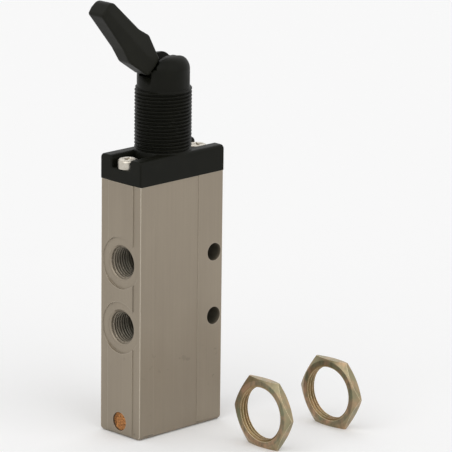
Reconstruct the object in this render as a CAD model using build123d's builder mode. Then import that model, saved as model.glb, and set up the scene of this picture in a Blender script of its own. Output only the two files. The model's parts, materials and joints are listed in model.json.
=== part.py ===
from build123d import *
import os
from math import cos, pi, radians, sin, tan

# Hand lever air valve: a 3/2-way toggle valve with G1/8 ports, for wall or panel mounting.
# Frame: +Z up, the origin at the middle of the base; the ports face -Y, the lever turns about X.

os.makedirs("parts", exist_ok=True)

# ---- driving dimensions, mm -------------------------------------------------------------

# valve body, a finished aluminium block
body_thickness = 16.0
body_depth = 32.0
body_height = 73.0
body_edge_round = 0.5
body_base_round = 1.2
narrow_band_width = 10.0        # raised band down the middle of each narrow face
narrow_edge_relief = 0.25
wide_field_depth = 0.15         # shallow field milled down each wide face
wide_field_front_margin = 5.5   # left standing at the ports' side
wide_field_rear_margin = 9.6

# ports and mounting holes
port_minor_radius = 4.283       # G1/8 before tapping
port_mouth_radius = 5.2
port_mouth_taper = 45.0         # degrees
port_wall = 1.5                 # left between a port's bottom and the main bore
port_spot_radius = 7.4
port_spot_depth = 0.5
port_passage_radius = 2.5
supply_height = 50.1
outlet_height = 31.4
mount_hole_radius = 2.55
mount_hole_inset = 3.4          # of their axes from the rear face
mount_hole_heights = (31.2, 49.8)

# exhaust
exhaust_height = 4.1
filter_radius = 2.7
filter_length = 3.0
filter_recess = 0.6
exhaust_passage_radius = 1.7

# inner bores of the body
main_bore_radius = 5.5
main_bore_floor = 22.0
spring_chamber_radius = 4.0
spring_chamber_floor = 2.0

# head: the black moulding with the threaded neck
head_overhang = 0.1             # how far the head stands proud of the body, each side
head_block_height = 7.25
head_edge_round = 0.5
head_top_round = 1.2
pocket_half_width = 3.6
pocket_floor_rise = 3.9         # floor of the screw pockets above the joint
neck_thread_radius = 7.98       # M16x1, over the crests
neck_thread_length = 17.65      # above the block
neck_plain_radius = 7.38
neck_plain_length = 9.25
neck_dome_round = 4.1
slot_half_width = 2.35
slot_depth = 5.55               # from the dome's top to the low walls at the slot's ends
cradle_half_width = 3.6         # band of the dome that is turned about the lever's axis
cradle_radius = 7.85
cavity_radius = 5.8             # room for the cam round the lever's axis

# lever and cam
pivot_depth = 7.75              # of the lever's axis under the dome's top
pin_radius = 1.25
pin_start = -7.15               # the pin is driven in from the -X side
pin_end = 5.9
lever_lean = 45.5               # degrees from upright, towards the ports
lever_travel = 91.0
stroke = 2.6                    # of the plunger and spool
cam_base = 2.6                  # height of the cam below the pivot with the valve released
cam_overrun = 5.0               # degrees of cam past the end of the travel
cam_steps = 12                  # points that its flank is drawn through
paddle_base = 8.1               # along the lever, from the pivot
lever_length = 34.1
tang_half_thickness = 2.1
tang_root = 0.5                 # how far the tang runs into the paddle
paddle_half_width = 3.3         # at the parting line
paddle_draft = 10.0             # degrees, from the parting line to the top and the underside
paddle_edge_round = 0.5
# outline of the paddle: distance along the lever, height from its middle plane, corner round
paddle_top = (
    (paddle_base, 2.35, 0.5),
    (15.6, 5.0, 1.9),
    (20.0, 3.8, 3.0),
    (lever_length, 3.2, 2.0),
)
paddle_under = (
    (lever_length, -2.2, 0.7),
    (20.5, -3.8, 6.0),
    (15.8, -5.0, 3.0),
    (paddle_base, -3.45, 0.5),
)
washer_radius = 2.0
washer_thickness = 0.5

# plunger, spool and what guides and seals them
plunger_stem_radius = 2.5
plunger_head_radius = 3.5
plunger_head_length = 4.0
bush_rise = 0.6                 # of its foot above the joint
bush_length = 14.4
spool_radius = 3.0
spool_waist_radius = 2.0
spool_bottom = 13.0
spool_drop = 0.5                # of its top under the joint
spool_collar_radius = 3.6
spool_collar_length = 1.2
spigot_radius = 1.6
spigot_length = 3.0
wiper_section = 1.3
wiper_rise = 7.0                # of its middle above the joint
land_lap = 1.5                  # how far a land covers a seal's middle
supply_waist_length = 7.7
land_ramp = 0.6                 # sloped end of each land
cage_gap = 0.7                  # between a cage and the spool
cage_hole_radius = 1.6
cage_bores = 3                  # drilled right through, so twice as many holes

# return spring
spring_wire_radius = 0.4
spring_mean_radius = 2.5
spring_turns = 5

# head screws (M3 pan head) and head seal
screw_inset = 2.85              # of their axes from the body's ends
screw_shank_radius = 1.5
screw_head_radius = 2.9
screw_head_height = 2.6
screw_head_round = 0.8
screw_reach = 7.0               # into the body
screw_spare_depth = 1.0         # of the tapped hole below the screw's end
head_seal_margin = 1.1          # of the seal's middle from the edge of the main bore
head_seal_section = 0.9

# panel nuts, M16x1, thin
nut_sides = 6
nut_across_flats = 19.5
nut_thickness = 2.8
nut_minor_radius = 7.46
nut_mouth_radius = 8.1
nut_face_share = 0.955          # of the flats, what the two chamfers leave of each face
nut_chamfer_angle = 30.0
nut_places = {"panel_nut_near": (34.3, 6.9, 0.3), "panel_nut_far": (33.3, 34.8, 2.5)}

# named clearances
running = 0.05                  # radial, of a shaft in its hole
seat = 0.1                      # round what is dropped into a bore
working = 0.1                   # between the cam and the plunger
head_lift = 0.3                 # over the plunger's head
screw_clearance = 0.15
slot_clearance = 0.15           # each side of the hub

# ---- sizes that follow -------------------------------------------------------------------

half_thickness = body_thickness / 2
front_face = -body_depth / 2
head_top = body_height + head_block_height
pocket_floor = body_height + pocket_floor_rise
port_bottom = -main_bore_radius - port_wall
port_depth = port_bottom - port_spot_depth - front_face
wide_field_front = front_face + wide_field_front_margin
wide_field_rear = body_depth / 2 - wide_field_rear_margin
mount_hole_y = body_depth / 2 - mount_hole_inset
screw_offset = body_depth / 2 - screw_inset
head_seal_radius = main_bore_radius + head_seal_margin
neck_thread_top = head_top + neck_thread_length
neck_top = neck_thread_top + neck_plain_length
slot_floor = neck_top - slot_depth
pivot_height = neck_top - pivot_depth
spool_top = body_height - spool_drop
bush_start = body_height + bush_rise
wiper_height = body_height + wiper_rise
cage_radius = main_bore_radius - seat
bush_radius = cage_radius       # as wide as the sleeve that it stands over
seal_section = cage_radius - spool_radius       # thickness of the spool's O-rings
seal_mean_radius = spool_radius + seal_section / 2
lower_seal_bottom = main_bore_floor
outlet_cage_bottom = lower_seal_bottom + seal_section
middle_seal_bottom = (supply_height + outlet_height - seal_section) / 2
supply_cage_bottom = middle_seal_bottom + seal_section
upper_seal_bottom = 2 * supply_height - supply_cage_bottom
clamp_sleeve_bottom = upper_seal_bottom + seal_section
middle_seal_height = middle_seal_bottom + seal_section / 2
lower_seal_height = lower_seal_bottom + seal_section / 2
plunger_top = pivot_height - cam_base - working
bush_top = bush_start + bush_length
cam_rate = stroke / radians(lever_travel)       # mm of lift for each radian of the lever
hub_radius = cam_base

lever_plane = Plane(
    origin=(0, 0, pivot_height),
    x_dir=(0, -sin(radians(lever_lean)), cos(radians(lever_lean))),
    z_dir=(-1, 0, 0),
)
pivot_plane = Plane(origin=(0, 0, pivot_height), x_dir=(0, 1, 0), z_dir=(1, 0, 0))


def cam_point(angle):
    """Point of the cam, as (y, z) from the pivot, where its face looks down once the lever has
    turned by angle: the involute of a circle of radius cam_rate, whose flat-faced follower
    drops by cam_rate for each radian."""
    a = radians(angle)
    reach = cam_base + cam_rate * a
    return (reach * sin(a) + cam_rate * cos(a), -reach * cos(a) + cam_rate * sin(a))


def save(part, name):
    part.label = name
    export_step(part, "parts/" + name + ".step")


# ---- valve body --------------------------------------------------------------------------

with BuildPart() as valve_body:
    with BuildSketch():
        Rectangle(body_thickness, body_depth)
    extrude(amount=body_height)
    fillet(valve_body.edges().filter_by(Axis.Z), body_edge_round)
    fillet(valve_body.faces().sort_by(Axis.Z)[0].edges(), body_base_round)
    # edge relief beside the raised band of both narrow faces
    relief_width = (body_thickness - narrow_band_width) / 2
    relief_x = narrow_band_width / 2 + relief_width / 2
    with BuildSketch():
        with GridLocations(2 * relief_x, body_depth, 2, 2):
            Rectangle(relief_width, 2 * narrow_edge_relief)
    extrude(amount=body_height, mode=Mode.SUBTRACT)
    # shallow field down both wide faces
    with BuildSketch():
        with Locations((0, (wide_field_front + wide_field_rear) / 2)):
            with GridLocations(body_thickness, 0, 2, 1):
                Rectangle(2 * wide_field_depth, wide_field_rear - wide_field_front)
    extrude(amount=body_height, mode=Mode.SUBTRACT)
    # bores for the spool stack and the return spring
    with BuildSketch(Plane.XY.offset(main_bore_floor)):
        Circle(main_bore_radius)
    extrude(amount=body_height - main_bore_floor, mode=Mode.SUBTRACT)
    with BuildSketch(Plane.XY.offset(spring_chamber_floor)):
        Circle(spring_chamber_radius)
    extrude(amount=main_bore_floor - spring_chamber_floor, mode=Mode.SUBTRACT)
    # ports: spot face, tapping hole with its chamfer, and passage into the bore
    for height in (outlet_height, supply_height):
        for start, length, radius in (
            (front_face, port_spot_depth, port_spot_radius),
            (front_face, port_spot_depth + port_depth, port_minor_radius),
            (port_bottom, body_depth / 2 - port_spot_depth - port_depth, port_passage_radius),
        ):
            with BuildSketch(Plane(origin=(0, start, height), z_dir=(0, 1, 0))):
                Circle(radius)
            extrude(amount=length, mode=Mode.SUBTRACT)
        mouth = Plane(origin=(0, front_face + port_spot_depth, height), z_dir=(0, 1, 0))
        with BuildSketch(mouth):
            Circle(port_mouth_radius)
        mouth_depth = (port_mouth_radius - port_minor_radius) / tan(radians(port_mouth_taper))
        extrude(amount=mouth_depth, taper=port_mouth_taper, mode=Mode.SUBTRACT)
    # exhaust: pocket for the filter and passage into the spring chamber
    exhaust_pocket = filter_recess + filter_length
    with BuildSketch(Plane(origin=(0, front_face, exhaust_height), z_dir=(0, 1, 0))):
        Circle(filter_radius)
    extrude(amount=exhaust_pocket, mode=Mode.SUBTRACT)
    with BuildSketch(Plane(origin=(0, front_face, exhaust_height), z_dir=(0, 1, 0))):
        Circle(exhaust_passage_radius)
    extrude(amount=body_depth / 2, mode=Mode.SUBTRACT)
    # mounting holes through both wide faces
    with BuildSketch(Plane.YZ.offset(-half_thickness)):
        with Locations(*[(mount_hole_y, height) for height in mount_hole_heights]):
            Circle(mount_hole_radius)
    extrude(amount=body_thickness, mode=Mode.SUBTRACT)
    # tapped holes for the head screws
    with BuildSketch(Plane.XY.offset(body_height)):
        with Locations((0, -screw_offset), (0, screw_offset)):
            Circle(screw_shank_radius + running)
    extrude(amount=-(screw_reach + screw_spare_depth), mode=Mode.SUBTRACT)

save(valve_body.part, "valve_body")

# ---- head with threaded neck -------------------------------------------------------------

head_width = body_thickness + 2 * head_overhang
head_depth = body_depth + 2 * head_overhang

with BuildPart() as head_housing:
    # block with a screw pocket at each end, as one section drawn across the valve
    with BuildSketch(Plane.XZ) as head_section:
        with Locations((0, body_height + head_block_height / 2)):
            Rectangle(head_width, head_block_height)
        with Locations((0, pocket_floor + head_block_height / 2)):
            Rectangle(2 * pocket_half_width, head_block_height, mode=Mode.SUBTRACT)
        fillet(head_section.vertices().group_by(Axis.Y)[-1], head_top_round)
    extrude(amount=head_depth / 2, both=True)
    end_faces = head_housing.faces().filter_by(Axis.Y)
    fillet(end_faces.edges(), head_edge_round)
    # neck: threaded length, plain length and dome, as one turned profile
    with BuildSketch(Plane.XZ):
        with BuildLine():
            Polyline(
                (0, neck_top),
                (0, body_height),
                (neck_thread_radius, body_height),
                (neck_thread_radius, neck_thread_top),
                (neck_plain_radius, neck_thread_top),
                (neck_plain_radius, neck_top - neck_dome_round),
            )
            RadiusArc(
                (neck_plain_radius, neck_top - neck_dome_round),
                (neck_plain_radius - neck_dome_round, neck_top),
                -neck_dome_round,
            )
            Line((neck_plain_radius - neck_dome_round, neck_top), (0, neck_top))
        make_face()
    revolve(axis=Axis.Z)
    # cradle: the band of the dome that the lever's paddle swings over
    band_height = neck_top - slot_floor
    band_length = 4 * neck_thread_radius
    with BuildSketch(pivot_plane):
        with Locations((0, slot_floor - pivot_height + band_height / 2)):
            Rectangle(band_length, band_height)
        Circle(cradle_radius, mode=Mode.SUBTRACT)
    extrude(amount=cradle_half_width, both=True, mode=Mode.SUBTRACT)
    # slot for the tang, and the cavity for the cam
    with BuildSketch(pivot_plane):
        with Locations((0, slot_floor - pivot_height + band_height / 2)):
            Rectangle(band_length, band_height)
        Circle(cavity_radius)
        with Locations((0, (slot_floor - pivot_height) / 2)):
            Rectangle(2 * cavity_radius, slot_floor - pivot_height)
    extrude(amount=slot_half_width, both=True, mode=Mode.SUBTRACT)
    # bore for the plunger, and a wider one for its bush
    with BuildSketch(Plane.XY.offset(body_height)):
        Circle(plunger_head_radius + seat)
    extrude(amount=plunger_top + head_lift - body_height, mode=Mode.SUBTRACT)
    with BuildSketch(Plane.XY.offset(body_height)):
        Circle(bush_radius + running)
    extrude(amount=bush_top - body_height, mode=Mode.SUBTRACT)
    # hole for the lever's pin, blind on the +X side
    with BuildSketch(Plane(origin=(-neck_thread_radius, 0, pivot_height), z_dir=(1, 0, 0))):
        Circle(pin_radius + running / 2)
    extrude(amount=neck_thread_radius + pin_end, mode=Mode.SUBTRACT)
    # screw holes, and the groove for the head seal
    with BuildSketch(Plane.XY.offset(body_height)):
        with Locations((0, -screw_offset), (0, screw_offset)):
            Circle(screw_shank_radius + screw_clearance)
    extrude(amount=pocket_floor_rise, mode=Mode.SUBTRACT)
    with BuildSketch(Plane.XY.offset(body_height)):
        Circle(head_seal_radius + head_seal_section / 2 + seat)
        Circle(head_seal_radius - head_seal_section / 2 - seat, mode=Mode.SUBTRACT)
    extrude(amount=head_seal_section, mode=Mode.SUBTRACT)

save(head_housing.part, "head_housing")

with BuildPart() as head_seal:
    with BuildSketch(Plane.XZ):
        with Locations((head_seal_radius, body_height + head_seal_section / 2)):
            Circle(head_seal_section / 2)
    revolve(axis=Axis.Z)

save(head_seal.part, "head_seal")

for place, side in (("front", -1), ("rear", 1)):
    with BuildPart() as head_screw:
        with BuildSketch(Plane.XY.offset(pocket_floor)):
            with Locations((0, side * screw_offset)):
                Circle(screw_head_radius)
        extrude(amount=screw_head_height)
        fillet(head_screw.faces().sort_by(Axis.Z)[-1].edges(), screw_head_round)
        with BuildSketch(Plane.XY.offset(pocket_floor)):
            with Locations((0, side * screw_offset)):
                Circle(screw_shank_radius)
        extrude(amount=-(pocket_floor_rise + screw_reach))
    save(head_screw.part, "head_screw_" + place)

# ---- hand lever with its cam -------------------------------------------------------------

paddle_corners = paddle_top + paddle_under
section_half = 2 * max(abs(height) for along, height, corner_round in paddle_corners)
section_edge = paddle_half_width - section_half * tan(radians(paddle_draft))
hub_half_thickness = slot_half_width - slot_clearance
washer_recess = washer_thickness - slot_clearance + running

with BuildPart() as hand_lever:
    # paddle: its outline in the plane that it swings in
    with BuildSketch(lever_plane) as outline:
        with BuildLine():
            Polyline([(along, height) for along, height, corner_round in paddle_corners], close=True)
        make_face()
        for along, height, corner_round in paddle_corners:
            fillet(outline.vertices().sort_by_distance(Vector(along, height, 0))[0], corner_round)
    extrude(amount=paddle_half_width, both=True)
    # cross-section: widest at the parting line, drafted to the top and the underside
    section_plane = Plane(
        origin=lever_plane.origin, x_dir=(1, 0, 0), z_dir=lever_plane.x_dir
    ).offset(paddle_base)
    with BuildSketch(section_plane):
        with BuildLine():
            Polyline(
                (paddle_half_width, 0),
                (section_edge, section_half),
                (-section_edge, section_half),
                (-paddle_half_width, 0),
                (-section_edge, -section_half),
                (section_edge, -section_half),
                close=True,
            )
        make_face()
    extrude(amount=lever_length, mode=Mode.INTERSECT)
    fillet(hand_lever.edges(), paddle_edge_round)
    # tang and hub in the slot
    with BuildSketch(lever_plane):
        with Locations((paddle_base / 2, 0)):
            Rectangle(paddle_base + 2 * tang_root, 2 * tang_half_thickness)
        Circle(hub_radius)
    extrude(amount=hub_half_thickness, both=True)
    # cam: an involute flank, closed through the hub
    cam_angles = [lever_travel * step / cam_steps for step in range(cam_steps + 1)]
    cam_angles.append(lever_travel + cam_overrun)
    with BuildSketch(pivot_plane):
        with BuildLine():
            flank = Spline([cam_point(angle) for angle in cam_angles])
            Polyline(flank @ 1, (0, hub_radius), (0, 0), flank @ 0)
        make_face()
    extrude(amount=hub_half_thickness, both=True)
    # hole for the pin, and a recess at each side for a friction washer
    with BuildSketch(pivot_plane):
        Circle(pin_radius + running)
    extrude(amount=hub_half_thickness, both=True, mode=Mode.SUBTRACT)
    for side in (-1, 1):
        with BuildSketch(pivot_plane.offset(side * hub_half_thickness)):
            Circle(washer_radius + seat)
        extrude(amount=-side * washer_recess, mode=Mode.SUBTRACT)

save(hand_lever.part, "hand_lever")

with BuildPart() as friction_washers:
    for side in (-1, 1):
        with BuildSketch(pivot_plane.offset(side * (slot_half_width - running))):
            Circle(washer_radius)
            Circle(pin_radius + running, mode=Mode.SUBTRACT)
        extrude(amount=-side * washer_thickness)

save(friction_washers.part, "friction_washers")

with BuildPart() as lever_pin:
    with BuildSketch(Plane(origin=(pin_start, 0, pivot_height), z_dir=(1, 0, 0))):
        Circle(pin_radius)
    extrude(amount=pin_end - pin_start)

save(lever_pin.part, "lever_pin")

# ---- plunger and its bush ----------------------------------------------------------------

with BuildPart() as plunger:
    with BuildSketch(Plane.XY.offset(spool_top)):
        Circle(plunger_stem_radius)
    extrude(amount=plunger_top - spool_top)
    with BuildSketch(Plane.XY.offset(plunger_top - plunger_head_length)):
        Circle(plunger_head_radius)
    extrude(amount=plunger_head_length)

save(plunger.part, "plunger")

with BuildPart() as guide_bush:
    with BuildSketch(Plane.XY.offset(bush_start)):
        Circle(bush_radius)
        Circle(plunger_stem_radius + running, mode=Mode.SUBTRACT)
    extrude(amount=bush_length)
    with BuildSketch(Plane.XY.offset(wiper_height - wiper_section / 2)):
        Circle(plunger_stem_radius + running + wiper_section)
    extrude(amount=wiper_section, mode=Mode.SUBTRACT)

save(guide_bush.part, "guide_bush")

with BuildPart() as plunger_wiper:
    with BuildSketch(Plane.XZ):
        with Locations((plunger_stem_radius + running + wiper_section / 2, wiper_height)):
            Circle(wiper_section / 2)
    revolve(axis=Axis.Z)

save(plunger_wiper.part, "plunger_wiper")

# ---- spool, its seals and cages ----------------------------------------------------------

supply_waist_bottom = middle_seal_height + land_lap
supply_waist_top = supply_waist_bottom + supply_waist_length
exhaust_waist_top = lower_seal_height + land_lap

with BuildPart() as spool:
    with BuildSketch(Plane.XZ):
        with BuildLine():
            Polyline(
                (0, spool_bottom - spigot_length),
                (spigot_radius, spool_bottom - spigot_length),
                (spigot_radius, spool_bottom),
                (spool_collar_radius, spool_bottom),
                (spool_collar_radius, spool_bottom + spool_collar_length),
                (spool_waist_radius, spool_bottom + spool_collar_length),
                (spool_waist_radius, exhaust_waist_top - land_ramp),
                (spool_radius, exhaust_waist_top),
                (spool_radius, supply_waist_bottom),
                (spool_waist_radius, supply_waist_bottom + land_ramp),
                (spool_waist_radius, supply_waist_top - land_ramp),
                (spool_radius, supply_waist_top),
                (spool_radius, spool_top),
                (0, spool_top),
                close=True,
            )
        make_face()
    revolve(axis=Axis.Z)

save(spool.part, "spool")

for name, bottom in (
    ("spool_seal_lower", lower_seal_bottom),
    ("spool_seal_middle", middle_seal_bottom),
    ("spool_seal_upper", upper_seal_bottom),
):
    with BuildPart() as spool_seal:
        with BuildSketch(Plane.XZ):
            with Locations((seal_mean_radius + running, bottom + seal_section / 2)):
                Circle(seal_section / 2)
        revolve(axis=Axis.Z)
    save(spool_seal.part, name)

for name, bottom, top, port_height in (
    ("outlet_cage", outlet_cage_bottom, middle_seal_bottom, outlet_height),
    ("supply_cage", supply_cage_bottom, upper_seal_bottom, supply_height),
):
    with BuildPart() as cage:
        with BuildSketch(Plane.XY.offset(bottom)):
            Circle(cage_radius)
            Circle(spool_radius + cage_gap, mode=Mode.SUBTRACT)
        extrude(amount=top - bottom)
        for bore in range(cage_bores):
            turn = pi * bore / cage_bores
            hole_plane = Plane(origin=(0, 0, port_height), z_dir=(sin(turn), cos(turn), 0))
            with BuildSketch(hole_plane):
                Circle(cage_hole_radius)
            extrude(amount=main_bore_radius, both=True, mode=Mode.SUBTRACT)
    save(cage.part, name)

with BuildPart() as clamp_sleeve:
    with BuildSketch(Plane.XY.offset(clamp_sleeve_bottom)):
        Circle(cage_radius)
        Circle(spool_radius + running, mode=Mode.SUBTRACT)
    extrude(amount=body_height - clamp_sleeve_bottom)

save(clamp_sleeve.part, "clamp_sleeve")

# ---- return spring -----------------------------------------------------------------------

spring_length = spool_bottom - spring_chamber_floor - 2 * spring_wire_radius

with BuildPart() as return_spring:
    with BuildLine(Plane.XY.offset(spring_chamber_floor + spring_wire_radius)) as coil:
        Helix(pitch=spring_length / spring_turns, height=spring_length, radius=spring_mean_radius)
    with BuildSketch(Plane(origin=coil.line @ 0, z_dir=coil.line % 0)):
        Circle(spring_wire_radius)
    sweep()

save(return_spring.part, "return_spring")

# ---- exhaust filter ----------------------------------------------------------------------

with BuildPart() as exhaust_filter:
    with BuildSketch(Plane(origin=(0, front_face + filter_recess, exhaust_height), z_dir=(0, 1, 0))):
        Circle(filter_radius)
    extrude(amount=filter_length)

save(exhaust_filter.part, "exhaust_filter")

# ---- panel nuts --------------------------------------------------------------------------

nut_corner_radius = nut_across_flats / 2 / cos(pi / nut_sides)
nut_face_radius = nut_face_share * nut_across_flats / 2
nut_chamfer = (nut_corner_radius - nut_face_radius) * tan(radians(nut_chamfer_angle))
mouth = nut_mouth_radius - nut_minor_radius

for name, (nut_x, nut_y, nut_yaw) in nut_places.items():
    nut_plane = Plane(
        origin=(nut_x, nut_y, nut_across_flats / 2),
        x_dir=(cos(radians(nut_yaw)), sin(radians(nut_yaw)), 0),
        z_dir=(sin(radians(nut_yaw)), -cos(radians(nut_yaw)), 0),
    )
    with BuildPart() as panel_nut:
        with BuildSketch(nut_plane):
            RegularPolygon(nut_across_flats / 2, nut_sides, major_radius=False)
        extrude(amount=nut_thickness / 2, both=True)
        # both faces chamfered, as turned
        section = Plane(origin=nut_plane.origin, x_dir=nut_plane.x_dir, z_dir=(0, 0, 1))
        with BuildSketch(section):
            with BuildLine():
                Polyline(
                    (0, -nut_thickness / 2),
                    (nut_face_radius, -nut_thickness / 2),
                    (nut_corner_radius, nut_chamfer - nut_thickness / 2),
                    (nut_corner_radius, nut_thickness / 2 - nut_chamfer),
                    (nut_face_radius, nut_thickness / 2),
                    (0, nut_thickness / 2),
                    close=True,
                )
            make_face()
        revolve(axis=Axis(nut_plane.origin, nut_plane.z_dir), mode=Mode.INTERSECT)
        # threaded hole, chamfered at both mouths
        with BuildSketch(section):
            with BuildLine():
                Polyline(
                    (0, -nut_thickness / 2),
                    (nut_mouth_radius, -nut_thickness / 2),
                    (nut_minor_radius, mouth - nut_thickness / 2),
                    (nut_minor_radius, nut_thickness / 2 - mouth),
                    (nut_mouth_radius, nut_thickness / 2),
                    (0, nut_thickness / 2),
                    close=True,
                )
            make_face()
        revolve(axis=Axis(nut_plane.origin, nut_plane.z_dir), mode=Mode.SUBTRACT)
    save(panel_nut.part, name)
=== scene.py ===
# %% [markdown]
# # Hand lever air valve
# A small two-position air valve: a beige-grey anodised block with two threaded ports, a black
# moulded head with a threaded neck, and a black lever that tips in the neck's slot. Two thin plated
# nuts, which would hold the neck in a panel, stand beside it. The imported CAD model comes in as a
# fixed frame. This script adds what that model leaves out, which is the screw threads, the cross
# recesses, the filter's beads and the wound spring, and then the finishes and the light.

# %% Load the frame
import json
import bmesh
import bpy
import numpy as np
from math import cos, pi, radians, sin, tan
from mathutils import Matrix, Vector


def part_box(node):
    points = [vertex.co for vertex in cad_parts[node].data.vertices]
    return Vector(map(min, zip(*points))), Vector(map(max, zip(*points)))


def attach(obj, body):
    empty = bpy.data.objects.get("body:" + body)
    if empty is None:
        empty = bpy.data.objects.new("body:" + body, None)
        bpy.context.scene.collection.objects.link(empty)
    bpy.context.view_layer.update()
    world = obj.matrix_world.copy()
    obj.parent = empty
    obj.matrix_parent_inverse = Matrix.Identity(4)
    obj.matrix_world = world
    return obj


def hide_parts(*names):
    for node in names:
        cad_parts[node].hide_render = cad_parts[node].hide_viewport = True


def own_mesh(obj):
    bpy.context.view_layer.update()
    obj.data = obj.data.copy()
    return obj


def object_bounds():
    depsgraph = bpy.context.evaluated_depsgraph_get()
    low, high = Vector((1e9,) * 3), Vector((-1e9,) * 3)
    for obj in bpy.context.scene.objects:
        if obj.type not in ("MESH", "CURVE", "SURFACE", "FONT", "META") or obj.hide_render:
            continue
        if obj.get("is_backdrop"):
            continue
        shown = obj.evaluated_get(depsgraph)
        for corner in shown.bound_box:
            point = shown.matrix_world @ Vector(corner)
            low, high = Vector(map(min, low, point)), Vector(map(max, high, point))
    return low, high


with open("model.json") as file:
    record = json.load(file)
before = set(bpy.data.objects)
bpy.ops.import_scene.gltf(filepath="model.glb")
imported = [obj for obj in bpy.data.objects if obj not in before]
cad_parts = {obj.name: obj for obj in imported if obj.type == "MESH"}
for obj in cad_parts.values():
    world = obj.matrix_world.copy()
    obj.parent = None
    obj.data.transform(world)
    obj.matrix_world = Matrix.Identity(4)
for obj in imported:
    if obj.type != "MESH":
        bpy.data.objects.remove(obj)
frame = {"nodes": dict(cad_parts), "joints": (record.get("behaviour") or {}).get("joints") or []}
cad_low, cad_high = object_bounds()
nodes = frame["nodes"]
MM = 0.001
print("nodes:", len(nodes))

# %% [markdown]
# ## Places
# Every size below is in millimetres. It is read from the CAD nodes, or it is one of the maker's
# own, such as a thread's pitch. Typing every place in would work too, but reading them from the
# nodes keeps the added detail where the frame has the part, even if the part changes.


# %% Read places from the nodes
def node_box(name):
    """Lowest and highest corner of a CAD node, in millimetres."""
    low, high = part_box(name)
    return np.array(low) / MM, np.array(high) / MM


body_low, body_high = node_box("valve_body")
neck_top = node_box("head_housing")[1][2]
print("body height:", body_high[2], "neck top:", neck_top)

# %% [markdown]
# ## Meshes from grids of points
# Most of the added shapes are a grid: one parameter runs along the shape, the other round it. The
# grid is worked out as one numpy array, and this helper turns it into a mesh. That keeps each shape
# a short formula, which is easier to read and to change than a long list of corners.


# %% Grid to mesh
def outward(mesh):
    """Turns every face of a closed mesh to point outwards."""
    work = bmesh.new()
    work.from_mesh(mesh)
    bmesh.ops.recalc_face_normals(work, faces=work.faces)
    work.to_mesh(mesh)
    work.free()


def new_piece(name, data):
    """An object at the origin for this mesh, lamp or lens, put in the scene."""
    piece = bpy.data.objects.new(name, data)
    bpy.context.scene.collection.objects.link(piece)
    return piece


def grid_mesh(name, points, joined=False):
    """Piece from an array of shape (rings, points in a ring, 3), in millimetres. Each ring is
    closed on itself. The last ring is joined to the first, or else one face covers each end."""
    rings, around = points.shape[:2]
    index = np.arange(rings * around).reshape(rings, around)
    if joined:
        index = np.concatenate([index, index[:1]])
    beside = np.roll(index, -1, axis=1)
    quads = np.stack([index[:-1], beside[:-1], beside[1:], index[1:]], axis=-1)
    faces = quads.reshape(-1, 4).tolist()
    if not joined:
        faces += [index[0][::-1].tolist(), index[-1].tolist()]
    mesh = bpy.data.meshes.new(name)
    mesh.from_pydata((points.reshape(-1, 3) * MM).tolist(), [], faces)
    outward(mesh)
    return new_piece(name, mesh)


def shade(piece, degrees=30):
    """Smooth shading, broken where two faces meet at more than this angle. At each corner the large
    faces weigh more than the slivers beside them, so that flat sides stay flat."""
    piece.data.shade_smooth()
    piece.data.set_sharp_from_angle(angle=radians(degrees))
    weighted = piece.modifiers.new("weighted_normals", "WEIGHTED_NORMAL")
    weighted.keep_sharp = True


# %% [markdown]
# ## Cutting detail into a copy
# The frame's own meshes must stay as they are, so a piece that needs cutting is a copy of its node.
# The node's triangles are loose, and are joined at their corners first, because a Boolean works on
# closed surfaces. Triangles that lie in one plane are then merged into one face, which shades as
# flat as the machined side is. The copy stands for the node, which is kept for collision only,
# hidden.


# %% Copy a node, and cut it
def merged_copy(node, name, weld=0.001, flat=0.2):
    """A copy of a CAD node's mesh, its loose triangles joined at corners less than weld apart, and
    neighbours that meet at less than flat degrees made one face."""
    mesh = nodes[node].data.copy()
    mesh.name = name
    work = bmesh.new()
    work.from_mesh(mesh)
    bmesh.ops.remove_doubles(work, verts=work.verts, dist=weld * MM)
    bmesh.ops.dissolve_limit(work, angle_limit=radians(flat), verts=work.verts, edges=work.edges)
    work.to_mesh(mesh)
    work.free()
    return new_piece(name, mesh)


def cut(piece, tools):
    """Takes the tools' shapes out of a piece with Booleans, and removes the tools."""
    for tool in tools:
        boolean = piece.modifiers.new("cut", "BOOLEAN")
        boolean.operation = "DIFFERENCE"
        boolean.solver = "EXACT"
        boolean.object = tool
    settled = piece.evaluated_get(bpy.context.evaluated_depsgraph_get())
    mesh = bpy.data.meshes.new_from_object(settled)
    piece.modifiers.clear()
    piece.data = mesh
    for tool in tools:
        bpy.data.objects.remove(tool)
    print(piece.name, "faces:", len(mesh.polygons))


# %% [markdown]
# ## Screw threads
# A thread is a V-shaped groove that winds round a cylinder. A bump in the finish would be quicker,
# but it leaves the outline straight and the mesh plain, so the groove is cut for real. Its cutter
# is a four-sided section carried along a helix: wide where the groove is open, narrow at its
# bottom. Near each end the cutter rises out of the metal, as a tap or a die does when it runs out.


# %% Thread cutter
thread_flank, thread_overcut = 27, 0.12  # degrees, and how far the cutter stands out of the metal
bottom_share, mouth_share = 0.2, 0.97  # widths of the groove's bottom and mouth, in pitches
least_depth = 0.02  # at the cutter's two ends, as a share of the full depth


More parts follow.
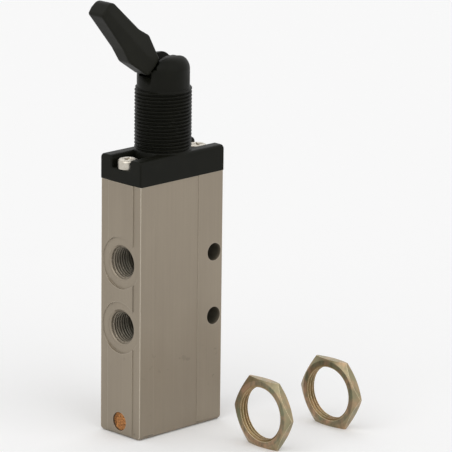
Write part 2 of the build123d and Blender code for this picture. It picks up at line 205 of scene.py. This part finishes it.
def thread_cutter(name, origin, axis, crest, root, pitch, length, steps=72, runout=0.5):
    """Cutter for a thread about a line from origin along axis. Its centre line is the helix at
    radius r, angle a and height pitch * a / 2 pi. The section runs from just past the crest radius,
    almost one pitch wide, to the root radius, a fifth of a pitch wide. runout is in turns."""
    axis = np.array(axis, float)
    axis /= np.linalg.norm(axis)
    slanted = [0.3, 0.2, 1.0] if abs(axis[2]) < 0.9 else [1.0, 0.2, 0.0]
    side = np.cross(axis, slanted)
    side /= np.linalg.norm(side)
    other = np.cross(axis, side)
    turns = length / pitch
    t = np.linspace(0, turns, int(turns * steps) + 1)
    depth = np.clip(np.minimum(t, turns - t) / runout, least_depth, 1)
    mouth_radius = np.full_like(t, crest - thread_overcut * np.sign(root - crest))
    bottom_radius = crest + (root - crest) * depth
    bottom_half = np.full_like(t, bottom_share / 2 * pitch)
    mouth_half = bottom_half + tan(radians(thread_flank)) * np.abs(bottom_radius - mouth_radius)
    mouth_half = np.minimum(mouth_half, mouth_share / 2 * pitch)
    radius = np.stack([mouth_radius, mouth_radius, bottom_radius, bottom_radius], axis=1)
    across = np.stack([-mouth_half, mouth_half, bottom_half, -bottom_half], axis=1)
    height = (t * pitch)[:, None] + across
    turn = (2 * pi * t)[:, None]
    points = (
        np.array(origin)
        + (radius * np.cos(turn))[..., None] * side
        + (radius * np.sin(turn))[..., None] * other
        + height[..., None] * axis
    )
    return grid_mesh(name, points)


# %% [markdown]
# ## Boring before tapping
# The CAD model's round holes have few sides, and a groove cut straight into one has crests that
# come and go. Boring the hole out by a few hundredths of a millimetre first, with a tool of many
# sides, leaves the crests even all the way round.


# %% Boring tool
def boring_tool(origin, axis, radius, length, around=128):
    """A plain cylinder of this radius about a level line from origin along axis: two rings, each of
    origin + radius * (cos a * side + sin a * other)."""
    axis = np.array(axis, float)
    side = np.cross(axis, [0.0, 0.0, 1.0])
    other = np.cross(axis, side)
    a = np.linspace(0, 2 * pi, around, endpoint=False)[:, None]
    ring = np.array(origin) + radius * (np.cos(a) * side + np.sin(a) * other)
    return grid_mesh("boring_tool", np.stack([ring, ring + axis * length]))


# %% [markdown]
# ## Head with its threaded neck
# The neck carries a fine M16 thread from the head's block up to the plain part under its dome, and
# the panel nuts run on it. The groove is cut into a copy of the head with one Boolean, because
# working the whole head out again as a formula would only repeat the CAD model.

# %% Cut the neck's thread
neck_crest, neck_root, neck_pitch = 7.98, 7.4, 1.0
neck_plain, neck_threaded, neck_runout = 9.25, 17.65, 0.55
neck_foot = [0, 0, neck_top - neck_plain - neck_threaded]
neck_groove = thread_cutter(
    "neck_groove", neck_foot, [0, 0, 1], neck_crest, neck_root, neck_pitch,
    neck_threaded + neck_runout,
)
head = merged_copy("head_housing", "head")
cut(head, [neck_groove])
shade(head)
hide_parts("head_housing")
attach(head, "valve")

# %% [markdown]
# ## Valve body with tapped ports
# Both ports are tapped G1/8. Seen from outside, their walls are a stack of fine bright and dark
# rings. Painted rings would be right from one side only, so each port is bored and then tapped,
# the way the real one is.

# %% Cut the ports' threads
port_crest, port_root, port_pitch, port_depth = 4.33, 4.864, 0.907, 7.5
port_heights = (31.4, 50.1)
spot_depth = 0.5  # of the flat sunk round each port
tool_lead, bore_past = 0.3, 0.2  # how far the tools start outside, and the bore goes deeper
port_face = body_low[1] + spot_depth
inwards = [0, 1, 0]
body = merged_copy("valve_body", "body")
for height in port_heights:
    start = [0, port_face - tool_lead, height]
    cut(body, [boring_tool(start, inwards, port_crest, port_depth + bore_past)])
    groove = thread_cutter(
        "port_groove", start, inwards, port_crest, port_root, port_pitch, port_depth
    )
    cut(body, [groove])
shade(body)
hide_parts("valve_body")
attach(body, "valve")

# %% [markdown]
# ## Panel nuts
# Two thin nuts, plated olive-yellow. They could be cut like the neck, but a nut is simple enough
# to be one formula: a ring whose section changes as it goes round. The section goes up the threaded
# hole, across the upper face, down the outside and back across the lower face. The thread needs no
# cutter here, because its depth is a wave of the height less the angle.


# %% Nut as one surface
nut_minor, nut_root, nut_mouth, nut_thickness = 7.47, 8.05, 0.3, 2.8
nut_face_share, nut_bevel = 0.955, 30  # the face's share of the flats, and the rims' slope
root_share, flank_share = 0.14, 0.66  # of the thread's wave; the rest is its crest
nut_step, nut_levels = 1.5, 73  # degrees between two sections, and points up the hole


def nut_surface(name, centre, yaw, flats):
    """Nut whose axis is level and turned by yaw degrees. The outside's radius is that of a hexagon,
    flats / 2 / cos(angle from the nearest flat's middle), and both its rims slope outside the face.
    The hole's radius goes from root to minor and back once in each turn of height / pitch -
    angle / 2 pi, and widens at 45 degrees at its mouths."""
    a = np.radians(np.arange(0, 360, nut_step))[:, None]
    half = nut_thickness / 2
    z = np.linspace(-half, half, nut_levels)[None, :]
    wave = 2 * np.abs((z / neck_pitch - a / (2 * pi)) % 1 - 0.5)
    crest = np.clip((wave - root_share) / flank_share, 0, 1)
    hole = np.maximum(
        nut_root - (nut_root - nut_minor) * crest, nut_minor + nut_mouth - (half - np.abs(z))
    )
    hexagon = flats / 2 / np.cos(a % (pi / 3) - pi / 6)
    face = np.full_like(a, nut_face_share * flats / 2)
    top = np.full_like(a, half)
    rim = top - (hexagon - face) * tan(radians(nut_bevel))
    radius = np.concatenate([hole, face, hexagon, hexagon, face], axis=1)
    height = np.concatenate([z + 0 * a, top, rim, -rim, -top], axis=1)
    side = np.array([cos(radians(yaw)), sin(radians(yaw)), 0.0])
    axis = np.array([sin(radians(yaw)), -cos(radians(yaw)), 0.0])
    points = (
        centre
        + (radius * np.cos(a))[..., None] * side
        + (radius * np.sin(a))[..., None] * np.array([0.0, 0.0, 1.0])
        + height[..., None] * axis
    )
    return grid_mesh(name, points, joined=True)


# %% Make both nuts
nut_centres = {}
for node, yaw in (("panel_nut_near", 0.3), ("panel_nut_far", 2.5)):
    low, high = node_box(node)
    nut_centres[node] = (low + high) / 2
    nut = nut_surface(node + "_threaded", nut_centres[node], yaw, high[2] - low[2])
    shade(nut, 20)
    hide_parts(node)
    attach(nut, "valve")
    print(nut.name, "faces:", len(nut.data.polygons))

# %% [markdown]
# ## Head screws
# Two pan head screws with a cross recess hold the head down. A dark cross in the finish would look
# flat from the side, so the recess is cut with a cross-shaped cutter that narrows as it goes down,
# as the driver's tip does.


# %% Cut the cross recess
recess_depth, recess_arm, recess_half_width = 1.5, 1.75, 0.42


def cross_cutter(name, low, high, turn):
    """Cutter for a cross recess in the top of a screw with these lowest and highest corners. Round
    the screw's axis the outline is the nearer of an arm's end and an arm's side, half width / |sine
    of the angle from the arm|. It keeps its size above the top, and shrinks going down."""
    a = np.linspace(0, 2 * pi, 96, endpoint=False)
    from_arm = np.abs((a + pi / 4) % (pi / 2) - pi / 4)
    outline = np.minimum(recess_arm, recess_half_width / np.maximum(np.sin(from_arm), 1e-3))
    down = recess_depth * np.array([-0.4, 0.0, 0.35, 0.7, 1.0])
    shrink = np.array([1.0, 1.0, 0.9, 0.72, 0.25])
    radius = outline[None, :] * shrink[:, None]
    x = (low[0] + high[0]) / 2 + radius * np.cos(a + turn)
    y = (low[1] + high[1]) / 2 + radius * np.sin(a + turn)
    z = np.broadcast_to((high[2] - down)[:, None], x.shape)
    return grid_mesh(name, np.stack([x, y, z], axis=-1))


for node, degrees in (("head_screw_front", 20), ("head_screw_rear", 65)):
    low, high = node_box(node)
    screw = merged_copy(node, node + "_recessed")
    cut(screw, [cross_cutter("recess", low, high, radians(degrees))])
    shade(screw)
    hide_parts(node)
    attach(screw, "valve")

# %% [markdown]
# ## Lever
# The lever's form is all in the CAD model: the shoulders, the waist, the draft to both sides of the
# parting line and the small rounds that a moulding has. It comes in as loose flat triangles, so a
# joined copy stands for it, because only joined faces can be shaded as one smooth skin.

# %% Smooth copy of the lever
lever = merged_copy("hand_lever", "lever_moulding")
shade(lever, 35)
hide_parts("hand_lever")
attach(lever, "lever")
print(lever.name, "faces:", len(lever.data.polygons))

# %% [markdown]
# ## Exhaust filter
# The filter is a plug of small bronze beads, sintered together. Some 150 separate balls would hide
# most of their faces in each other, so the plug's face is one disc whose height at each point is
# that of the nearest bead: the root of the bead's radius squared less the distance squared. The
# beads sit on a triangular grid that is shaken a little.

# %% Beads on the filter's face
filter_low, filter_high = node_box("exhaust_filter")
filter_middle = (filter_low + filter_high) / 2
filter_radius = (filter_high[0] - filter_low[0]) / 2
bead, bead_shake = 0.24, 0.045  # a bead's radius, and how far it is shaken
bead_pitch, bead_row = 1.72, 1.5  # steps in a row and between rows, in radii
bead_count = 9  # to each side of the middle, which is more than the face has room for
face_rings, face_steps = 52, 168  # rings of the disc outside a tiny first one, and points in each
shake = np.random.default_rng(7)
count = np.arange(-bead_count, bead_count + 1)
row, column = np.meshgrid(count, count, indexing="ij")
bead_x = (column + 0.5 * (row % 2)) * bead_pitch * bead + shake.normal(0, bead_shake, row.shape)
bead_z = row * bead_row * bead + shake.normal(0, bead_shake, row.shape)
ring_radius = np.concatenate([[0.02], np.linspace(0.06, filter_radius, face_rings)])
ring_turn = np.linspace(0, 2 * pi, face_steps, endpoint=False)
x = ring_radius[:, None] * np.cos(ring_turn)
z = ring_radius[:, None] * np.sin(ring_turn)
away = (x[..., None] - bead_x.ravel()) ** 2 + (z[..., None] - bead_z.ravel()) ** 2
rise = np.sqrt(np.maximum(bead ** 2 - away.min(axis=-1), 0))
face_y = filter_low[1] + bead - rise
back_y = np.full((1, len(ring_turn)), filter_high[1])
bead_points = np.stack(
    [
        np.concatenate([x, x[-1:]]) + filter_middle[0],
        np.concatenate([face_y, back_y]),
        np.concatenate([z, z[-1:]]) + filter_middle[2],
    ],
    axis=-1,
)
beads = grid_mesh("filter_beads", bead_points)
shade(beads, 50)
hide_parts("exhaust_filter")
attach(beads, "valve")
print("beads on the face:", int((bead_x ** 2 + bead_z ** 2 < filter_radius ** 2).sum()))

# %% [markdown]
# ## Return spring
# A real compression spring is wound with its end turns closed, and shortens as the spool comes
# down on it. The CAD model's spring is an even helix of a fixed length. A curve with a round bevel
# would give a better wire, but here the tube is worked out: a circle carried along a helix whose
# rise is slow in the end turns. The share of its length that it would keep with the spool down is
# worked out and printed.


# %% Wind the spring
def wound_wire(name, foot, height, coil, wire, turns, steps=60, around=12):
    """Tube of this wire radius along a helix of this coil radius. The helix climbs just over one
    wire diameter in each turn, and what is left of the height between the end turns. Round each
    point the circle is wire * (cos v * outwards + sin v * across), where across is square to
    outwards and to the helix."""
    u = np.linspace(0, turns, int(turns * steps) + 1)
    climb = np.interp(u, [0, 0.8, 1.2, turns - 1.2, turns - 0.8, turns], [0, 0, 1, 1, 0, 0])
    closed_rise, full_rise = 2.05 * wire, height - 2 * wire
    open_share = np.concatenate([[0], np.cumsum((climb[1:] + climb[:-1]) / 2)])
    z = closed_rise * u + (full_rise - closed_rise * turns) * open_share / open_share[-1]
    a = 2 * pi * u
    outwards = np.stack([np.cos(a), np.sin(a), 0 * a], axis=1)
    centre = coil * outwards + np.stack([0 * a, 0 * a, foot + wire + z], axis=1)
    along = np.gradient(centre, axis=0)
    along /= np.linalg.norm(along, axis=1, keepdims=True)
    across = np.cross(along, outwards)
    v = np.linspace(0, 2 * pi, around, endpoint=False)[None, :, None]
    circle = np.cos(v) * outwards[:, None] + np.sin(v) * across[:, None]
    return grid_mesh(name, centre[:, None] + wire * circle)


wire_radius, spring_turns = 0.4, 6.5
spring_low, spring_high = node_box("return_spring")
spring_height = spring_high[2] - spring_low[2]
coil_radius = (spring_high[0] - spring_low[0]) / 2 - wire_radius
spring = wound_wire(
    "wound_spring", spring_low[2], spring_height, coil_radius, wire_radius, spring_turns
)
shade(spring, 60)
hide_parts("return_spring")
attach(spring, "valve")
slide = next(joint for joint in frame["joints"] if joint["name"] == "spool_slide")
kept_share = 1 - slide["range_m"][1] / MM / spring_height
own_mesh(spring)
print("spring keeps this share of its length:", round(kept_share, 3))

# %% [markdown]
# ## A way to write shader maths
# A finish is a tree of nodes. Wiring one by hand hides what it works out, so this small class wraps
# an output socket and lets Python's own operators add the Math nodes. Every other node comes from
# one method, which takes the node's type, its settings and the values or wires of its inputs.


# %% Wires
class Wire:
    """An output socket of a material's tree, with arithmetic."""

    def __init__(self, tree, socket):
        self.tree, self.socket = tree, socket

    def add(self, kind, settings=None, inputs=None, output=0):
        """Adds a node. settings are its own properties, which are set first. inputs gives a value
        or a wire for each named or numbered input."""
        node = self.tree.nodes.new(kind)
        for name, value in (settings or {}).items():
            setattr(node, name, value)
        for name, value in (inputs or {}).items():
            if isinstance(value, Wire):
                self.tree.links.new(value.socket, node.inputs[name])
            else:
                node.inputs[name].default_value = value
        return Wire(self.tree, node.outputs[output] if node.outputs else None)

    def maths(self, operation, *values):
        """A Math node with these values or wires."""
        return self.add("ShaderNodeMath", {"operation": operation}, dict(enumerate(values)))

    def __add__(self, other):
        return self.maths("ADD", self, other)

    def __radd__(self, other):
        return self.maths("ADD", other, self)

    def __sub__(self, other):
        return self.maths("SUBTRACT", self, other)

    def __rsub__(self, other):
        return self.maths("SUBTRACT", other, self)

    def __mul__(self, other):
        return self.maths("MULTIPLY", self, other)

    def __rmul__(self, other):
        return self.maths("MULTIPLY", other, self)

    def __pow__(self, other):
        return self.maths("POWER", self, other)

    def __abs__(self):
        return self.maths("ABSOLUTE", self)

    def clip(self, low, high):
        """0 below low, 1 above high, straight between."""
        return self.add("ShaderNodeMapRange", None, {0: self, 1: low, 2: high})

    def axis(self, name):
        """One part of a place: its X, Y or Z."""
        return self.add("ShaderNodeSeparateXYZ", None, {0: self}, "XYZ".index(name))

    def noise(self, scale, detail=3.0, stretch=(1, 1, 1)):
        """Noise of this many grains to the millimetre, drawn out by stretch."""
        grains = tuple(scale / MM / part for part in stretch)
        spread = self.add("ShaderNodeVectorMath", {"operation": "MULTIPLY"}, {0: self, 1: grains})
        inputs = {"Vector": spread, "Scale": 1.0, "Detail": detail}
        return self.add("ShaderNodeTexNoise", None, inputs)

    def blend(self, low, high):
        """Colour that goes from low to high as this wire goes from 0 to 1. A Mix node's colours are
        its inputs 6 and 7, and its output 2."""
        first, second = [part if isinstance(part, Wire) else (*part, 1) for part in (low, high)]
        return self.add("ShaderNodeMix", {"data_type": "RGBA"}, {0: self, 6: first, 7: second}, 2)


# %% [markdown]
# ## From a tree to a finish
# Colours are written as they look, and turned into the linear light that Blender works in. Each
# finish ends in one surface shader. A real edge always carries a thin line of light. A Bevel
# modifier could give it, but it doesn't get on with the slivers that a Boolean leaves, so a Bevel
# node softens the edges in the shading instead. The grain comes from a Bump node.


# %% Finish helpers
def looks(red, green, blue):
    """Linear colour of one that looks like this on a screen, from 0 to 255."""
    part = np.array([red, green, blue]) / 255
    linear = np.where(part <= 0.04045, part / 12.92, ((part + 0.055) / 1.055) ** 2.4)
    return tuple(linear.tolist())


def new_finish(name):
    """A new material with an empty tree, and the wire of its Object coordinates."""
    material = bpy.data.materials.new(name)
    material.use_nodes = True
    tree = material.node_tree
    tree.nodes.clear()
    print("finish:", name)
    return material, Wire(tree, None).add("ShaderNodeTexCoord", output="Object")


def edges(place, radius):
    """How much a point belongs to an edge, from 0 to 1: one less the dot product of its own normal
    and of the normal averaged over this radius, in millimetres. Below 0.02 it counts as flat,
    and from 0.14 up as all edge."""
    own = place.add("ShaderNodeNewGeometry", output="Normal")
    around = place.add("ShaderNodeBevel", {"samples": 8}, {"Radius": radius * MM})
    likeness = place.add(
        "ShaderNodeVectorMath", {"operation": "DOT_PRODUCT"}, {0: own, 1: around}, "Value"
    )
    return (1 - likeness).clip(0.02, 0.14)


def in_bore(place, across, centre, radius, fade=0.06):
    """1 inside a bore of this radius and 0 outside: the distance from the bore's axis is the root
    of the sum of the squares across it. across names the two directions, such as XZ."""
    first, second = [place.axis(name) - middle * MM for name, middle in zip(across, centre)]
    return 1 - ((first ** 2 + second ** 2) ** 0.5).clip(radius * MM, (radius + fade) * MM)


def surface(place, colour, roughness, height, relief, edge=0.12, **constants):
    """Ends a tree in one surface shader. relief is the height's full depth and edge the radius that
    corners are softened to, both in millimetres. constants are the shader's own settings."""
    normal = place.add("ShaderNodeBevel", {"samples": 6}, {"Radius": edge * MM})
    bump = {"Strength": 1.0, "Distance": relief * MM, "Height": height, "Normal": normal}
    normal = place.add("ShaderNodeBump", None, bump)
    inputs = {"Base Color": colour, "Roughness": roughness, "Normal": normal}
    inputs.update({name.replace("_", " "): value for name, value in constants.items()})
    shader = place.add("ShaderNodeBsdfPrincipled", None, inputs)
    place.add("ShaderNodeOutputMaterial", None, {"Surface": shader})


def wear(piece, material):
    """Gives a piece or a node this finish in every one of its material slots, or in a new one."""
    if not piece.material_slots:
        piece.data.materials.append(material)
    for slot in piece.material_slots:
        slot.material = material


# %% [markdown]
# ## Anodised aluminium
# The block is drawn, milled and then anodised a warm grey. It has faint lines along its height from
# drawing, a fine matt grain from the acid bath, cloudy patches where the dye took unevenly, and a
# few small grey scuffs low down, where it has been stood on a bench. A picture of such metal would
# fit one size and one side only. Noise at a coarse, a middle and a fine scale, mixed by weight,
# fits everywhere, and stretching it along Z makes the lines.

# %% Anodised colour
anodised, place = new_finish("anodised_body")
clouds = place.noise(0.09, 4.0, (1, 1, 2.5))
lines = place.noise(1.6, 3.0, (1, 1, 60))
grain = place.noise(9.0, 2.0)
tone = (clouds - 0.5) * 0.7 + (lines - 0.5) * 0.3 + (grain - 0.5) * 0.25 + 0.5
colour = tone.clip(0.1, 0.9).blend(looks(135, 124, 109), looks(154, 143, 126))
scuffs = place.noise(0.33, 2.0, (1, 1, 0.8)).clip(0.69, 0.74)
low_down = 1 - place.axis("Z").clip(4 * MM, 30 * MM)
colour = (scuffs * low_down * 0.6).blend(colour, looks(96, 88, 78))

# %% [markdown]
# ## Painted shade in the bores, and painted highlights with wear on the corners
# The ports, the mounting holes and the filter's pocket get painted shade that makes them darker
# than the faces. The upright corners get a painted highlight with some rubbed wear, and every other
# edge, the ports' thread crests among them, a fainter painted highlight. Each could be painted on
# the mesh face by face, but here they are found from where they are. A bore's mask alone would run
# right through the block and show as a disc on its far side, so each is also held to the depth
# where its bore is.

# %% Painted shade in the bores, painted highlights and wear on the corners
half_width, half_depth = body_high[:2]
hole_radius, hole_heights, hole_inset = 2.6, (31.2, 49.8), 3.4
hole_y = half_depth - hole_inset
filter_bore, filter_height = filter_radius + 0.05, filter_middle[2]
front_half = 1 - place.axis("Y").clip(0, MM)
port_dark = place.axis("Y").clip((port_face + 0.3) * MM, (port_face + 5) * MM) * front_half
filter_dark = place.axis("Y").clip((port_face - 0.45) * MM, (port_face - 0.2) * MM) * front_half
hole_fade = [((half_width - depth) * MM) ** 2 for depth in (1.4, 0.1)]
hole_dark = 1 - (place.axis("X") ** 2).clip(*hole_fade)
inside = sum(
    [in_bore(place, "XZ", (0, height), port_root) * port_dark for height in port_heights]
    + [in_bore(place, "YZ", (hole_y, height), hole_radius) * hole_dark for height in hole_heights]
    + [in_bore(place, "XZ", (0, filter_height), filter_bore) * filter_dark]
)
# Painted shade: inside the bores the colour is blended to a darker one.
colour = inside.blend(colour, looks(104, 99, 86))
near_side = abs(place.axis("X")).clip((half_width - 0.7) * MM, (half_width - 0.4) * MM)
near_front = abs(place.axis("Y")).clip((half_depth - 0.8) * MM, (half_depth - 0.5) * MM)
corner = near_side * near_front
# Painted highlight with some rubbed wear on the upright corners, and a fainter painted highlight on
# every other edge and on the bores' thread crests.
corner_highlight_and_wear = edges(place, 0.5) * (corner * 0.75 + inside * 0.2 + 0.2)
colour = corner_highlight_and_wear.blend(colour, looks(222, 212, 194))
surface(
    place, colour, 0.42 + (clouds - 0.5) * 0.12, grain * 0.6 + lines * 0.4, relief=0.012,
    Metallic=0.55,
)
wear(body, anodised)

# %% [markdown]
# ## Black head
# The head is a satin black moulding with glass fibre in it. Its colour is nearly black, so what is
# seen of it is mostly gloss. A darker colour alone would look like a hole. The gloss is low and
# changes slowly from place to place, over a fine skin.

# %% Head
moulded, place = new_finish("moulded_head")
skin = place.noise(4.0, 3.0)
patches = place.noise(0.2, 3.0)
colour = patches.blend(looks(12, 13, 8), looks(23, 23, 17))
surface(
    place, colour, 0.46 + (patches - 0.5) * 0.2, skin, relief=0.01, edge=0.15,
    Specular_IOR_Level=0.1,
)
wear(head, moulded)

# %% [markdown]
# ## Black lever
# The lever is a finer black moulding, from a mould with a spark-eroded texture. Its ridges are
# softened over a whole millimetre, which is wide enough to hide the parting line's crease, and
# carry a painted highlight that makes them a little paler than the rest.

# %% Lever
textured, place = new_finish("textured_lever")
sparks = place.noise(5.5, 4.0)
patches = place.noise(0.25, 3.0)
colour = patches.blend(looks(17, 17, 11), looks(29, 29, 22))
# Painted highlight along the lever's ridges.
colour = (edges(place, 0.7) * 0.8).blend(colour, looks(70, 69, 63))
surface(
    place, colour, 0.5 + (patches - 0.5) * 0.16, sparks, relief=0.03, edge=1.0,
    Specular_IOR_Level=0.12,
)
wear(lever, textured)

# %% [markdown]
# ## Bright screws
# The screws are bright zinc: all metal, nearly white, with smears that are a little duller. A plain
# grey would look like paint, because a metal shows its surroundings and not its own light.

# %% Screws
zinc, place = new_finish("bright_zinc")
smears = place.noise(0.9, 3.0)
colour = smears.blend(looks(178, 170, 156), looks(214, 209, 198))
scratches = place.noise(6.0, 2.0)
surface(place, colour, 0.28 + smears * 0.14, scratches, relief=0.006, Metallic=1.0)
for node in ("head_screw_front", "head_screw_rear"):
    wear(bpy.data.objects[node + "_recessed"], zinc)

# %% [markdown]
# ## Bronze filter
# The beads are warm bronze, tinted by the furnace, with painted shade in the gaps between them. The
# shade is found from how deep a point lies, which the beads' own shape gives, and not from a second
# pattern that would have to be lined up with them.

# %% Filter
bronze, place = new_finish("sintered_bronze")
heat = place.noise(1.6, 3.0)
bead_gap_shade = place.axis("Y").clip((filter_low[1] + 0.04) * MM, (filter_low[1] + 0.7 * bead) * MM)
colour = heat.clip(0.3, 0.7).blend(looks(138, 88, 44), looks(226, 158, 92))
# Painted shade in the gaps between the beads.
colour = bead_gap_shade.blend(colour, looks(70, 40, 20))
pores = place.noise(8.0, 2.0)
surface(place, colour, 0.42, pores, relief=0.01, edge=0.03, Metallic=0.5)
wear(beads, bronze)

# %% [markdown]
# ## Plated nuts
# The nuts are plated olive-yellow, with patches that lean to pink and to green, as thin passivation
# does. One colour with gloss would look like brass. Two noises do it, a slow one for the tints and
# a streaky one for the dull patches. Masks by radius tell the thread and the flats apart, for a
# painted golden sheen in the thread and a painted highlight on the flats, and the edges get painted
# highlights.

# %% Nuts
nut_face_radius = 9.35


def plating(name, centre):
    """Plating of the nut whose axis runs through this centre: green and pink tints under darker
    streaks, with a painted highlight on its flats, a painted golden sheen in its thread and painted
    highlights on its edges."""
    plated, place = new_finish(name)
    tints = place.noise(0.3, 4.0)
    streaks = place.noise(0.9, 4.0, (1, 1, 3))
    colour = tints.clip(0.38, 0.62).blend(looks(126, 126, 100), looks(172, 140, 112))
    colour = (streaks.clip(0.42, 0.68) * 0.7).blend(colour, looks(104, 98, 78))
    across = (centre[0], centre[2])
    flats = 1 - in_bore(place, "XZ", across, nut_face_radius)
    # Painted highlight on the flats and the rims' slopes.
    colour = (flats * 0.3).blend(colour, looks(190, 172, 136))
    threaded = in_bore(place, "XZ", across, nut_root)
    # Painted golden sheen in the thread.
    colour = (threaded * 0.6).blend(colour, looks(150, 124, 80))
    # Painted highlights along the edges.
    colour = edges(place, 0.22).blend(colour, looks(232, 216, 182))
    grain = place.noise(5.0, 3.0)
    surface(
        place, colour, 0.26 + streaks * 0.2, grain, relief=0.01, edge=0.08, Metallic=0.85
    )
    return plated


for node, centre in nut_centres.items():
    wear(bpy.data.objects[node + "_threaded"], plating(node + "_plating", centre))

# %% [markdown]
# ## Inner pieces
# The spool, its seals, the cages and the spring are hidden in the block, but they are part of the
# model and can be looked at one by one. Each kind of material has its own finish, and as most of
# these pieces are turned, one function makes all of them from a few numbers.


# %% Inner finishes
def turned(name, dark, light, roughness, metallic, rings=14.0, relief=0.006):
    """Finish of a turned piece: fine rings along Z, this many to the millimetre, with a little
    unevenness."""
    material, place = new_finish(name)
    marks = place.noise(rings, 2.0, (30, 30, 1))
    uneven = place.noise(0.5, 3.0)
    colour = (marks * 0.5 + uneven * 0.5).blend(looks(*dark), looks(*light))
    surface(
        place, colour, roughness + (uneven - 0.5) * 0.1, marks, relief=relief, edge=0.05,
        Metallic=metallic,
    )
    return material


inner_finishes = {
    turned("turned_brass", (150, 122, 62), (196, 166, 96), 0.3, 1.0):
        ("guide_bush", "outlet_cage", "supply_cage", "clamp_sleeve"),
    turned("hard_anodised", (176, 176, 172), (206, 206, 202), 0.32, 0.9): ("spool",),
    turned("ground_steel", (150, 150, 150), (196, 195, 192), 0.25, 1.0):
        ("lever_pin", "wound_spring"),
    turned("natural_acetal", (205, 200, 184), (226, 222, 208), 0.45, 0.0, 8.0):
        ("plunger", "friction_washers"),
    turned("seal_rubber", (24, 24, 24), (40, 40, 39), 0.6, 0.0, 4.0, 0.01):
        ("head_seal", "plunger_wiper", "spool_seal_lower", "spool_seal_middle", "spool_seal_upper"),
}
for material, names in inner_finishes.items():
    for name in names:
        wear(bpy.data.objects[name], material)

# %% [markdown]
# ## Floor
# The part stands on a plain pale floor that runs far behind it, so that no horizon shows. It lies a
# hundredth of a millimetre under the block, because two faces in one plane flicker.

# %% Floor
floor_half, floor_drop = 6000.0, 0.01
floor_corners = np.array([(-1, -1, 0), (1, -1, 0), (1, 1, 0), (-1, 1, 0)]) * floor_half
floor_corners -= (0, 0, floor_drop)
floor_mesh = bpy.data.meshes.new("floor")
floor_mesh.from_pydata((floor_corners * MM).tolist(), [], [(0, 1, 2, 3)])
floor = new_piece("floor", floor_mesh)
pale, place = new_finish("pale_floor")
shader = place.add("ShaderNodeBsdfDiffuse", None, {"Color": (*looks(252, 252, 252), 1)})
place.add("ShaderNodeOutputMaterial", None, {"Surface": shader})
wear(floor, pale)
floor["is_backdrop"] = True

# %% [markdown]
# ## Sky
# The light comes from a white sky. What the camera, a gloss or a glass sees of it is half as bright
# again as what it gives as light: that keeps the background pale without washing out the part.

# %% Sky
world = bpy.data.worlds.new("studio")
bpy.context.scene.world = world
world.use_nodes = True
tree = world.node_tree
tree.nodes.clear()
rays = Wire(tree, None).add("ShaderNodeLightPath", output="Is Camera Ray")
glossy = rays.add("ShaderNodeLightPath", output="Is Glossy Ray")
through = rays.add("ShaderNodeLightPath", output="Is Transmission Ray")
seen = rays.maths("MAXIMUM", rays, rays.maths("MAXIMUM", glossy, through))
light_given, seen_brighter = 0.62, 0.3
strength = light_given + seen * seen_brighter
sky = rays.add("ShaderNodeBackground", None, {"Color": (1, 1, 1, 1), "Strength": strength})
rays.add("ShaderNodeOutputWorld", None, {"Surface": sky})

# %% [markdown]
# ## Suns
# Three broad, soft suns give the sides their different shades. Area lamps could do it too, but a
# sun's light is the same at every distance, so that every side gets about as much as its colour is
# written for.


# %% Suns
def toward(azimuth, elevation):
    """Direction to this azimuth, from -Y round to +X, and this elevation, both in degrees."""
    a, e = radians(azimuth), radians(elevation)
    return Vector((sin(a) * cos(e), -cos(a) * cos(e), sin(e)))


def sun(name, azimuth, elevation, strength, spread):
    """A soft sun that shines from this azimuth and elevation. spread is how wide it looks."""
    lamp = bpy.data.lights.new(name, "SUN")
    lamp.energy = strength
    lamp.angle = radians(spread)
    holder = new_piece(name, lamp)
    holder.rotation_mode = "QUATERNION"
    holder.rotation_quaternion = toward(azimuth, elevation).to_track_quat("Z", "Y")
    holder.location = toward(azimuth, elevation)
    print("sun:", name, "from", azimuth, elevation)


sun("key", 12, 42, 0.75, 50)
sun("fill", 95, 35, 0.55, 60)
sun("back", 230, 50, 0.35, 60)

# %% [markdown]
# ## Camera
# A long lens from far away, a little above the valve and facing its front corner, keeps the upright
# edges nearly parallel. A constraint could aim it, but it is also rolled a little, so its three
# directions are worked out and put in a turning matrix.

# %% Camera
azimuth, elevation, roll = 45.428, 14.858, radians(0.691)
camera_place = Vector((772.95, -736.45, 341.35))
back = np.array(toward(azimuth, elevation))
level = np.array([cos(radians(azimuth)), sin(radians(azimuth)), 0.0])
upright = np.cross(back, level)
right = cos(roll) * level + sin(roll) * upright
up = cos(roll) * upright - sin(roll) * level
lens = bpy.data.cameras.new("studio_camera")
lens.sensor_width = 36.0
lens.lens = 314.6
lens.clip_start, lens.clip_end = 0.05, 50.0
camera = new_piece("studio_camera", lens)
camera.rotation_mode = "QUATERNION"
camera.rotation_quaternion = Matrix(np.stack([right, up, back], axis=1).tolist()).to_quaternion()
camera.location = camera_place * MM
bpy.context.scene.camera = camera
bpy.context.scene.view_settings.view_transform = "Standard"
print("camera is this far away, m:", round(camera.location.length, 3))

# %% [markdown]
# ## Sizes
# The looks must not change the part's size, so both boxes are measured: the frame's, and that
# of the finished model. How far the second grew past the first is printed.

# %% Measure the sizes and finish
low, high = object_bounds()
growth = (np.array([low, high]) - np.array([cad_low, cad_high])) / MM
print("grew by, mm:", growth.round(3).tolist())
